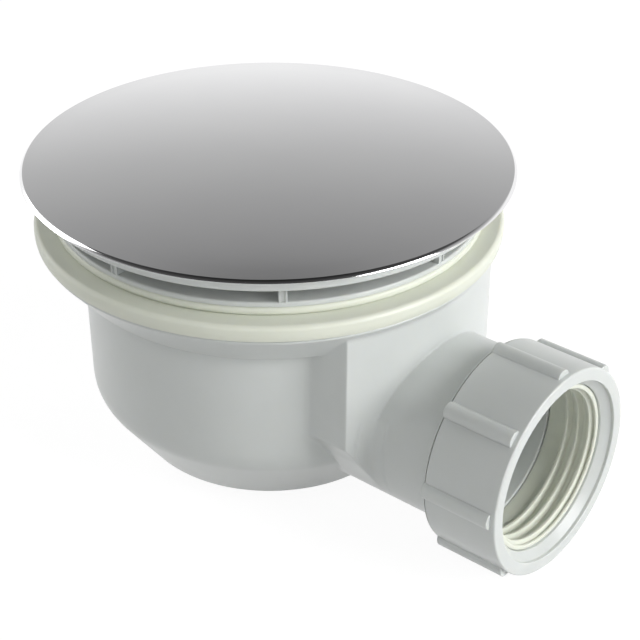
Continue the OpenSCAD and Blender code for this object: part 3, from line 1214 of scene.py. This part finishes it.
@dataclass
class TrapBody:
    """The bowl, its overflow pouch and the outlet tube, moulded in one piece."""

    shop: Workshop
    wall: float = 2.4 * MM
    bowl_r: float = 46.2 * MM
    bowl_foot_r: float = 45.6 * MM
    bowl_foot: float = -46.2 * MM
    floor_r: float = 33.85 * MM
    corner_round: float = 10.8 * MM
    side_steps: int = 10
    flare_z: float = -13.8 * MM
    flare_out: float = 2.9 * MM
    flare_round: float = 3.0 * MM
    shoulder: Corner = (51.0 * MM, -11.5 * MM, 1.0 * MM)
    rim_r: float = 56.6 * MM
    rim_edge: float = 0.7 * MM
    mouth_foot_r: float = 46.6 * MM
    mouth_foot_rise: float = 1.2 * MM
    mouth_slope: Point2 = (49.0 * MM, -9.8 * MM)
    mouth_r: float = 50.6 * MM
    mouth_low: float = -7.9 * MM
    mouth_round: float = 0.3 * MM
    pouch_r: float = 55.15 * MM
    pouch_half: float = 27.6 * MM
    pouch_side: float = -37.0 * MM
    pouch_start: float = 20.0 * MM
    pouch_corner: float = 1.5 * MM
    pouch_top_gap: float = 1.6 * MM
    pouch_edge: float = 0.2 * MM
    pouch_fillet: float = 0.5 * MM
    chamber_top: float = -9.4 * MM
    chamber_corner: float = 1.0 * MM
    weir: float = -19.0 * MM
    tube_r: float = 22.0 * MM
    tube_start: float = 30.0 * MM
    tube_fillet: float = 0.28 * MM
    gusset_r: float = 25.4 * MM
    gusset_x: float = 49.0 * MM
    gusset_start: float = 40.0 * MM
    gusset_top: float = -29.6 * MM
    gusset_round: float = 5.0 * MM
    gusset_fillet: float = 0.8 * MM
    seat_r: float = 21.4 * MM
    seat_x: float = 72.3 * MM
    seat_round: float = 0.25 * MM
    thread_x: float = 70.2 * MM
    thread_r: float = 22.6 * MM
    thread_lead: float = 0.6 * MM
    tube_lap: float = 0.4 * MM
    spigot_x: float = 66.0 * MM
    spigot_root_r: float = 20.9 * MM
    bore_lap: float = 0.5 * MM
    bore_step: float = 1.0 * MM
    root_gap: float = 0.3 * MM
    screws: int = 4
    screw_way_r: float = 2.4 * MM
    boss_circle_r: float = 38.0 * MM
    boss_r: float = 4.0 * MM
    boss_top: float = -8.4 * MM
    boss_low: float = -30.0 * MM
    boss_foot: float = 4.0 * MM
    boss_angle: float = 45.0
    boss_steps: int = 48
    insert_r: float = 2.9 * MM
    insert_length: float = 8.0 * MM
    web_width: float = 4.0 * MM
    web_sink: float = 0.7 * MM
    web_top: float = -15.0 * MM
    # The mesh's grid, in millimetres and degrees, is fine where the pouch and the tube meet
    ring_spans: tuple[Span, ...] = ((0.0, 30.0, 3.0), (30.0, 42.0, 0.9), (42.0, 51.0, 0.7),
                                    (51.0, 57.6, 0.45), (57.6, 77.0, 0.9))
    level_spans: tuple[Span, ...] = ((-62.4, -44.0, 0.8), (-44.0, -20.0, 0.7), (-20.0, -2.0, 0.6))
    column_spans: tuple[Span, ...] = ((0.0, 34.0, 0.4), (34.0, 326.0, 2.0), (326.0, 360.0, 0.4))

    def build(self) -> None:
        """Makes the moulding, the end of its tube and its screw bosses."""
        mesher = FormMesher(spread(self.ring_spans) * MM, spread(self.level_spans) * MM,
                            np.radians(spread(self.column_spans)))
        moulding = mesher.build("trap_moulding", self.outer().cut(self.hollow(), self.mouth_round))
        for piece in (moulding, self.spigot(), self.boss_ring()):
            self.shop.dress(piece, Slot.PLASTIC, ["trap_body"])

    def spigot(self) -> bpy.types.Object:
        """End of the outlet tube, which carries the thread and seats the sleeve.

        Returns:
            The end of the tube.
        """
        tube, bore, root = self.tube_r, self.tube_r - self.wall, self.spigot_root_r
        crest, end, lead = self.thread_r, self.shop.plan.tube_end, self.thread_lead
        lap_x = self.thread_x - self.tube_lap
        corners = [(bore, self.spigot_x, 0.0), (root, self.spigot_x, 0.0), (root, lap_x, 0.0),
                   (tube, lap_x, 0.0), (tube, self.thread_x, EDGE_ROUND),
                   (crest, self.thread_x + lead, EDGE_ROUND),
                   (crest, end - lead, EDGE_ROUND), (crest - lead, end, EDGE_ROUND),
                   (self.seat_r, end, EDGE_ROUND), (self.seat_r, self.seat_x, 0.0),
                   (bore, self.seat_x, self.seat_round)]
        return self.shop.lathe.turn("outlet_spigot", rounded(corners), Axis.OUTLET)

    def boss_ring(self) -> bpy.types.Object:
        """Posts inside the bowl that hold the threaded inserts, each with a web to the wall.

        Returns:
            The posts and webs as one object.
        """
        low, top, insert, way = self.boss_low, self.boss_top, self.insert_r, self.screw_way_r
        insert_low, way_low = top - self.insert_length, low + self.boss_foot
        corners = [(0.0, low, 0.0), (self.boss_r, low, BROAD_ROUND), (self.boss_r, top, SOFT_ROUND),
                   (insert, top, FINE_ROUND), (insert, insert_low, 0.0), (way, insert_low, 0.0),
                   (way, way_low, 0.0), (0.0, way_low, 0.0)]
        post = Lathe(0.0, self.boss_steps).turn("boss_post", rounded(corners))
        post.data.transform(Matrix.Translation((self.boss_circle_r, 0.0, 0.0)))
        half = self.web_width / 2.0
        web_box = box_mesh((self.boss_circle_r + self.boss_r - self.web_sink, -half, low),
                           (self.bowl_r - self.wall / 2.0, half, self.web_top))
        template = merged("screw_boss", [post, join_boxes("boss_web", [web_box], SOFT_ROUND)])
        turn = Matrix.Rotation(math.radians(self.boss_angle), 4, "Z")
        return ring_of(template, self.screws, self.shop.materials[Slot.PLASTIC], turn)

    def side(self, inset: float) -> list[Point2]:
        """Outline of the bowl's side, from its floor to the start of its flare.

        Args:
            inset: How far the outline lies inside the moulding's outer surface.

        Returns:
            The outline, without the last point on the axis.
        """
        floor = self.shop.plan.floor + inset
        # On the slope between floor and side, the wall stays even when the floor shrinks by two thirds of it
        low_r = self.floor_r - inset * 2.0 / 3.0
        corners = [(0.0, floor, 0.0), (low_r, floor, BROAD_ROUND),
                   (self.bowl_foot_r - inset, self.bowl_foot, self.corner_round - inset),
                   (self.bowl_r - inset, self.flare_z, 0.0), (0.0, self.flare_z, 0.0)]
        return rounded(corners, self.side_steps)[:-1]

    def outer(self) -> Form:
        """Outside of the moulding.

        Returns:
            The form without its hollow.
        """
        rim_top, flare = LOWER_SEAL_LOW, self.flare_z
        rim = rounded([(0.0, flare, 0.0), (self.bowl_r, flare, 0.0),
                       (self.bowl_r + self.flare_out, flare, self.flare_round), self.shoulder,
                       (self.rim_r, rim_top - self.rim_edge, BROAD_ROUND), (self.rim_r, rim_top, EDGE_ROUND),
                       (0.0, rim_top, 0.0)], 6)
        bowl = turned_form(self.side(0.0) + rim[1:])
        section = prism_form(self.pouch_section(self.pouch_half, self.tube_r, rim_top - self.pouch_top_gap,
                                                self.pouch_corner))
        pouch = section.meet(drum_form(self.pouch_r), self.pouch_edge).meet(beyond_form(self.pouch_start))
        tube = outlet_form([(0.0, self.tube_start), (self.tube_r, self.tube_start),
                            (self.tube_r, self.thread_x), (0.0, self.thread_x)],
                           self.shop.plan.outlet_depth)
        return (bowl.join(pouch, self.pouch_fillet).join(tube, self.tube_fillet)
                .join(self.gusset(), self.gusset_fillet))

    def gusset(self) -> Form:
        """Rounding under the tube's root, on the pouch's front.

        Returns:
            The form of the rounding.
        """
        bend, start = self.gusset_round, self.gusset_start
        middle = (self.tube_r + bend, self.gusset_x + bend)
        meets = 180.0 + math.degrees(math.acos((middle[0] - self.gusset_r) / bend))
        outline = [(0.0, start), (self.gusset_r, start), *arc(middle, bend, meets, 180.0), (0.0, middle[1])]
        section = self.pouch_section(self.pouch_half, self.tube_r, self.gusset_top, self.pouch_corner)
        return outlet_form(outline, self.shop.plan.outlet_depth).meet(prism_form(section), self.gusset_fillet)

    def pouch_section(self, half: float, round_r: float, top: float, corner: float) -> list[Point2]:
        """Section of the pouch across the outlet, with slopes that run out on the tube.

        Args:
            half: Half of the section's width.
            round_r: Radius of the tube that the slopes touch.
            top: Height of the section's top.
            corner: Rounding between the sides and the slopes.

        Returns:
            The outline in Y and Z.
        """
        depth, side = self.shop.plan.outlet_depth, self.pouch_side
        reach = Vector((-half, side - depth))
        angle = math.atan2(reach.y, reach.x) + math.acos(round_r / reach.length)
        touch = (round_r * math.cos(angle), depth + round_r * math.sin(angle))
        return rounded([(-half, top, 0.0), (-half, side, corner), (touch[0], touch[1], 0.0),
                        (-touch[0], touch[1], 0.0), (half, side, corner), (half, top, 0.0)])

    def hollow(self) -> Form:
        """Everything that is taken out of the moulding.

        Returns:
            The bowl's inside, the pouch's chamber, the tube's bore and the gap over the weir.
        """
        bore_r, root = self.tube_r - self.wall, self.spigot_root_r - self.root_gap
        half, top, weir = self.pouch_half - self.wall, self.chamber_top, self.weir
        mouth = [(self.mouth_foot_r, self.flare_z + self.mouth_foot_rise), self.mouth_slope,
                 (self.mouth_r, self.mouth_low), (self.mouth_r, 0.0), (0.0, 0.0)]
        bowl = turned_form(self.side(self.wall) + mouth)
        solid_bowl = turned_form(self.side(0.0) + [(0.0, self.flare_z)])
        front = drum_form(self.pouch_r - self.wall)
        section = prism_form(self.pouch_section(half, bore_r, top, self.chamber_corner))
        chamber = section.meet(front).meet(beyond_form(self.pouch_start))
        bore = outlet_form([(0.0, self.tube_start), (bore_r, self.tube_start),
                            (bore_r, self.spigot_x + self.bore_lap), (root, self.spigot_x + self.bore_step),
                            (root, WELL_AHEAD), (0.0, WELL_AHEAD)], self.shop.plan.outlet_depth)
        gap = prism_form([(-half, weir), (half, weir), (half, top), (-half, top)])
        gap = gap.meet(front).meet(beyond_form(self.tube_start))
        return bowl.join(chamber.join(bore).cut(solid_bowl)).join(gap)


@dataclass
class Outlet:
    """Coupling nut, its grip ribs and the rubber sleeve that grips the pipe."""

    shop: Workshop
    nut_r: float = 25.8 * MM
    nut_front_round: float = 0.45 * MM
    thread_bore_r: float = 23.3 * MM
    hole_r: float = 20.8 * MM
    mouth_r: float = 22.6 * MM
    mouth_depth: float = 0.8 * MM
    mouth_slope: float = 2.6 * MM
    step: float = 5.5 * MM
    line_back: float = 0.3 * MM
    line_width: float = 0.35 * MM
    line_depth: float = 1.4 * MM
    line_round: float = 0.05 * MM
    line_set_back: float = 0.1 * MM
    ribs: int = 8
    rib_r: float = 2.2 * MM
    rib_from_back: float = 0.2 * MM
    rib_from_front: float = 1.3 * MM
    rib_ease: float = 0.35 * MM
    rib_nose: float = 0.15 * MM
    rib_turn: float = 100.0
    rib_steps: int = 16
    sleeve_r: float = 21.35 * MM
    sleeve_gap: float = 0.1 * MM
    sleeve_front_round: float = 0.35 * MM
    collar_r: float = 22.9 * MM
    collar_width: float = 2.0 * MM
    entry_r: float = 19.5 * MM
    entry_depth: float = 0.6 * MM
    entry_slope: float = 0.9 * MM
    entry_front_round: float = 0.25 * MM
    entry_back_round: float = 0.15 * MM
    groove_r: float = 20.1 * MM
    lips: int = 3
    lip_r: float = 18.85 * MM
    lip_pitch: float = 3.0 * MM
    lip_width: float = 0.6 * MM
    lip_foot: float = 0.95 * MM
    lip_round: float = 0.12 * MM
    first_lip: float = 1.8 * MM
    thread_crest_r: float = 23.2 * MM
    thread_start: float = 70.4 * MM
    thread_stop: float = 1.2 * MM
    thread_pitch: float = 2.5 * MM
    thread_chords: int = 96
    ridge_r: float = 0.6 * MM
    ridge_chords: int = 8

    def build(self) -> None:
        """Makes the nut, the ribs, the sleeve and the thread."""
        self.shop.dress(self.nut(), Slot.PLASTIC, ["outlet_nut"])
        self.shop.dress(self.rib_ring(), Slot.PLASTIC, ["outlet_nut"])
        self.shop.dress(self.sleeve(), Slot.CREAM, ["outlet_seal"])
        self.shop.dress(self.thread(), Slot.PLASTIC)

    def nut(self) -> bpy.types.Object:
        """Ring of the nut, with a thin groove at its back that shows as a dark line.

        Returns:
            The ring.
        """
        back, front, nut_r = self.shop.plan.nut_back, self.shop.plan.nut_front, self.nut_r
        line, groove = back + self.line_back, nut_r - self.line_depth
        corners = [(self.thread_bore_r, back, EDGE_ROUND), (nut_r - self.line_back, back, FINE_ROUND),
                   (nut_r - self.line_set_back, line, self.line_round), (groove, line, 0.0),
                   (groove, line + self.line_width, 0.0), (nut_r, line + self.line_width, self.line_round),
                   (nut_r, front, self.nut_front_round), (self.mouth_r, front, EDGE_ROUND),
                   (self.mouth_r, front - self.mouth_depth, SOFT_ROUND),
                   (self.hole_r, front - self.mouth_slope, SOFT_ROUND), (self.hole_r, front - self.step, 0.0),
                   (self.thread_bore_r, front - self.step, 0.0)]
        return self.shop.lathe.turn("coupling_nut", rounded(corners), Axis.OUTLET)

    def rib_ring(self) -> bpy.types.Object:
        """Half-round grip ribs, evenly round the nut.

        Returns:
            The ribs as one object.
        """
        plan, radius, row = self.shop.plan, self.rib_r, self.rib_steps + 1
        back, front = plan.nut_back + self.rib_from_back, plan.nut_front - self.rib_from_front
        levels = [(back, radius - self.rib_ease), (back + self.rib_ease, radius),
                  (front - self.rib_nose, radius), (front, radius - self.rib_nose)]
        centre = plan.rib_top_r - radius
        points = [(centre + a, b, height) for height, size in levels
                  for a, b in arc((0.0, 0.0), size, -self.rib_turn, self.rib_turn, self.rib_steps)]
        starts = [i * row for i in range(len(levels))]
        faces = [[i + s, i + s + 1, i + row + s + 1, i + row + s]
                 for i in starts[:-1] for s in range(row - 1)]
        faces += [[i + row - 1, i, i + row, i + 2 * row - 1] for i in starts[:-1]]
        faces += [list(range(row))[::-1], list(range(starts[-1], starts[-1] + row))]
        template = add_object("grip_rib", mesh_of("grip_rib", points, faces))
        place = self.shop.lathe.outlet_matrix()
        return ring_of(template, self.ribs, self.shop.materials[Slot.PLASTIC], place)

    def sleeve(self) -> bpy.types.Object:
        """Rubber sleeve with its lips and its collar.

        Returns:
            The sleeve.
        """
        plan, collar, groove, half = self.shop.plan, self.collar_r, self.groove_r, self.lip_width / 2.0
        front, back, seat = plan.seal_front, plan.seal_back, plan.tube_end
        out, collar_x = self.hole_r - self.sleeve_gap, seat + self.collar_width
        corners = [(self.sleeve_r, back, FINE_ROUND), (self.sleeve_r, seat, 0.0), (collar, seat, FINE_ROUND),
                   (collar, collar_x, FINE_ROUND), (out, collar_x, 0.0),
                   (out, front, self.sleeve_front_round), (self.entry_r, front, self.entry_front_round),
                   (self.entry_r, front - self.entry_depth, FINE_ROUND),
                   (groove, front - self.entry_slope, self.entry_back_round)]
        for i in range(self.lips):
            x = front - self.first_lip - self.lip_pitch * i
            corners += [(groove, x + self.lip_foot, FINE_ROUND), (self.lip_r, x + half, self.lip_round),
                        (self.lip_r, x - half, self.lip_round), (groove, x - self.lip_foot, FINE_ROUND)]
        corners.append((groove, back, FINE_ROUND))
        return self.shop.lathe.turn("pipe_sleeve", rounded(corners, 4), Axis.OUTLET)

    def thread(self) -> bpy.types.Object:
        """Helical ridge on the tube, under the nut.

        Returns:
            The ridge.
        """
        length = self.shop.plan.tube_end - self.thread_stop - self.thread_start
        recipe = Recipe("tube_thread")
        radius = recipe.size("Root radius", self.thread_crest_r - self.ridge_r)
        height = recipe.size("Length", length)
        turns = recipe.size("Turns", length / self.thread_pitch)
        helix = recipe.node("GeometryNodeCurveSpiral", {
            "Resolution": self.thread_chords, "Rotations": turns, "Start Radius": radius,
            "End Radius": radius, "Height": height})
        ridge = recipe.node("GeometryNodeCurvePrimitiveCircle", {
            "Resolution": self.ridge_chords, "Radius": self.ridge_r})
        solid = recipe.node("GeometryNodeCurveToMesh", {
            "Curve": helix.outputs[0], "Profile Curve": ridge.outputs[0], "Fill Caps": True})
        thread = recipe.finish(solid.outputs[0], self.shop.materials[Slot.PLASTIC])
        start = Matrix.Translation((0.0, 0.0, self.thread_start))
        thread.data.transform(self.shop.lathe.outlet_matrix() @ start)
        thread.data.shade_smooth()
        return thread


@dataclass
class Insides:
    """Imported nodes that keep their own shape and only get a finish."""

    shop: Workshop
    slots: dict[str, Slot] = field(default_factory=lambda: {
        "hair_strainer": Slot.GREY, "dip_tube": Slot.PLASTIC, "dip_tube_ring": Slot.BLACK,
        "clamp_screws": Slot.STEEL, "threaded_inserts": Slot.BRASS, "slip_ring": Slot.PLASTIC})

    def build(self, nodes: dict[str, bpy.types.Object]) -> None:
        """Gives each inner node its finish.

        Args:
            nodes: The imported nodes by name.
        """
        for name, slot in self.slots.items():
            thing = nodes[name]
            thing.data.materials.clear()
            thing.data.materials.append(self.shop.materials[slot])
            log.info("%s keeps its shape, %s", name, slot.value)


# Studio

@dataclass(frozen=True)
class View:
    """The photograph's camera, as it was fitted to the object's circles, with angles in degrees.

    The aim is the pixel of the photograph that shows the point at the aim's height on the bowl's axis.
    """

    image: int = 640
    azimuth: float = 42.057
    elevation: float = 25.883
    roll: float = -0.568
    distance: float = 432.0 * MM
    aim_height: float = 12.8 * MM
    aim_x: float = 269.151
    aim_y: float = 159.278
    focal: float = 1774.35
    sensor: float = 36.0
    nearest: float = 0.01
    furthest: float = 20.0

    def build(self) -> None:
        """Makes the camera and looks through it."""
        azimuth, roll, middle = math.radians(self.azimuth), math.radians(self.roll), self.image / 2.0
        back = direction(self.azimuth, self.elevation)
        right = Vector((math.cos(azimuth), math.sin(azimuth), 0.0))
        up = back.cross(right)
        turned_right = right * math.cos(roll) + up * math.sin(roll)
        turned_up = up * math.cos(roll) - right * math.sin(roll)
        aim = Vector(((self.aim_x - middle) / self.focal, (middle - self.aim_y) / self.focal, -1.0))
        tilt = aim.normalized().rotation_difference(Vector((0.0, 0.0, -1.0))).to_matrix()
        basis = Matrix((turned_right, turned_up, back)).transposed() @ tilt
        data = bpy.data.cameras.new("view")
        data.sensor_width = self.sensor
        data.lens = self.focal * self.sensor / self.image
        data.clip_start, data.clip_end = self.nearest, self.furthest
        camera = add_object("view", data)
        place = back * self.distance + Vector((0.0, 0.0, self.aim_height))
        camera.matrix_world = Matrix.Translation(place) @ basis.to_4x4()
        bpy.context.scene.camera = camera


@dataclass(frozen=True)
class Lamp:
    """A soft square lamp, with its angles in degrees, its power in watts and a switch for its reflection."""

    name: str
    azimuth: float
    elevation: float
    distance: float
    size: float
    power: float
    mirrored: bool = True

    def build(self) -> None:
        """Places the lamp so that it faces the object."""
        way = direction(self.azimuth, self.elevation)
        data = bpy.data.lights.new(self.name, "AREA")
        data.size, data.energy = self.size, self.power
        lamp = add_object(self.name, data)
        lamp.visible_glossy = self.mirrored
        lamp.location = way * self.distance
        lamp.rotation_mode = "QUATERNION"
        lamp.rotation_quaternion = way.to_track_quat("Z", "Y")


@dataclass
class Studio:
    """White floor, soft surroundings and lamps.

    The surroundings' stops give the grey that a reflection shows, by the height of its direction.
    """

    floor_height: float
    floor_size: float = 6.0
    floor_shade: float = 0.7
    floor_glow: float = 1.16
    shadow_share: float = 0.2
    ambient: float = 0.16
    reflected: tuple[Point2, ...] = ((0.0, 1.0), (0.28, 0.98), (0.36, 0.70), (0.43, 0.50), (0.50, 0.37),
                                     (0.57, 0.27), (0.62, 0.08), (1.0, 0.01))
    lamps: tuple[Lamp, ...] = (
        Lamp("key", 102.0, 22.0, 1.2, 0.7, 13.0),
        Lamp("front", 20.0, 32.0, 1.2, 0.9, 3.3, False),
        Lamp("left", -75.0, 25.0, 1.2, 0.8, 4.7),
        Lamp("back", 170.0, 15.0, 1.2, 0.6, 3.5, False),
    )

    def build(self) -> None:
        """Makes the floor, the surroundings and the lamps."""
        self.floor()
        self.surroundings()
        for lamp in self.lamps:
            lamp.build()

    @staticmethod
    def mirror_rays(shade: Shade) -> Wire:
        """One for rays that show the surroundings in a mirror or glass, and zero for the rest."""
        path = shade.node("ShaderNodeLightPath").outputs
        return (Wire(shade, path["Is Glossy Ray"]) + Wire(shade, path["Is Transmission Ray"])).clamp()

    @staticmethod
    def camera_rays(shade: Shade) -> Wire:
        """One for rays that come straight from the camera."""
        return Wire(shade, shade.node("ShaderNodeLightPath").outputs["Is Camera Ray"])

    def floor(self) -> None:
        """Makes the wide white floor, which takes the object's shadow."""
        half = self.floor_size / 2.0
        corners = [(-half, -half, 0.0), (half, -half, 0.0), (half, half, 0.0), (-half, half, 0.0)]
        mesh = mesh_of("floor", corners, [[0, 1, 2, 3]])
        mesh.transform(Matrix.Translation((0.0, 0.0, self.floor_height)))
        material = bpy.data.materials.new("floor")
        material.use_nodes = True
        shade = Shade(material.node_tree)
        plain = shade.node("ShaderNodeBsdfDiffuse", {"Color": (*[self.floor_shade] * 3, 1.0)})
        white = shade.node("ShaderNodeEmission", {"Color": WHITE, "Strength": self.floor_glow})
        shown = (self.camera_rays(shade) + self.mirror_rays(shade)).clamp() * (1.0 - self.shadow_share)
        both = shade.node("ShaderNodeMixShader", {0: shown, 1: plain.outputs[0], 2: white.outputs[0]})
        shade.node("ShaderNodeOutputMaterial", {"Surface": both.outputs[0]})
        mesh.materials.append(material)
        add_object("floor", mesh)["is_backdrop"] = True

    def surroundings(self) -> None:
        """Makes the world: white to the camera, a soft ramp in reflections and an even grey as light."""
        world = bpy.data.worlds.new("studio")
        bpy.context.scene.world = world
        world.use_nodes = True
        shade = Shade(world.node_tree)
        way = shade.node("ShaderNodeTexCoord").outputs["Generated"]
        height = shade.node("ShaderNodeSeparateXYZ", {"Vector": way}).outputs["Z"]
        ramp = shade.node("ShaderNodeValToRGB", {"Fac": height}, stops=self.reflected)
        lights = ((ramp.outputs[0], 1.0), (WHITE, self.ambient), (WHITE, 1.0))
        shown, grey, white = (shade.node("ShaderNodeBackground", {"Color": colour, "Strength": strength})
                              for colour, strength in lights)
        light = shade.node("ShaderNodeMixShader", {
            0: self.mirror_rays(shade), 1: grey.outputs[0], 2: shown.outputs[0]})
        both = shade.node("ShaderNodeMixShader", {
            0: self.camera_rays(shade), 1: light.outputs[0], 2: white.outputs[0]})
        shade.node("ShaderNodeOutputWorld", {"Surface": both.outputs[0]})


def clear_startup() -> None:
    """Removes the cube, lamp and camera that Blender may start with."""
    for name in STARTUP_OBJECTS:
        thing = bpy.data.objects.get(name)
        if thing is not None:
            bpy.data.objects.remove(thing)


def main() -> None:
    """Builds the dressed trap and its studio."""
    logging.basicConfig(level=logging.INFO, format="%(name)s: %(message)s", stream=sys.stdout)
    clear_startup()
    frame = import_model()
    cad_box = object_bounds()
    bpy.context.scene.view_settings.view_transform = "Standard"
    plan = Plan.from_frame()
    materials = {slot: finish.build() for slot, finish in FINISHES.items()}
    shop = Workshop(plan, Lathe(plan.outlet_depth), materials)
    View().build()
    for assembly in (Cover, Clamp, TrapBody, Outlet):
        assembly(shop).build()
    Insides(shop).build(frame["nodes"])
    Studio(floor_height=cad_box[0].z).build()
    bpy.context.view_layer.update()


if __name__ == "__main__":
    main()
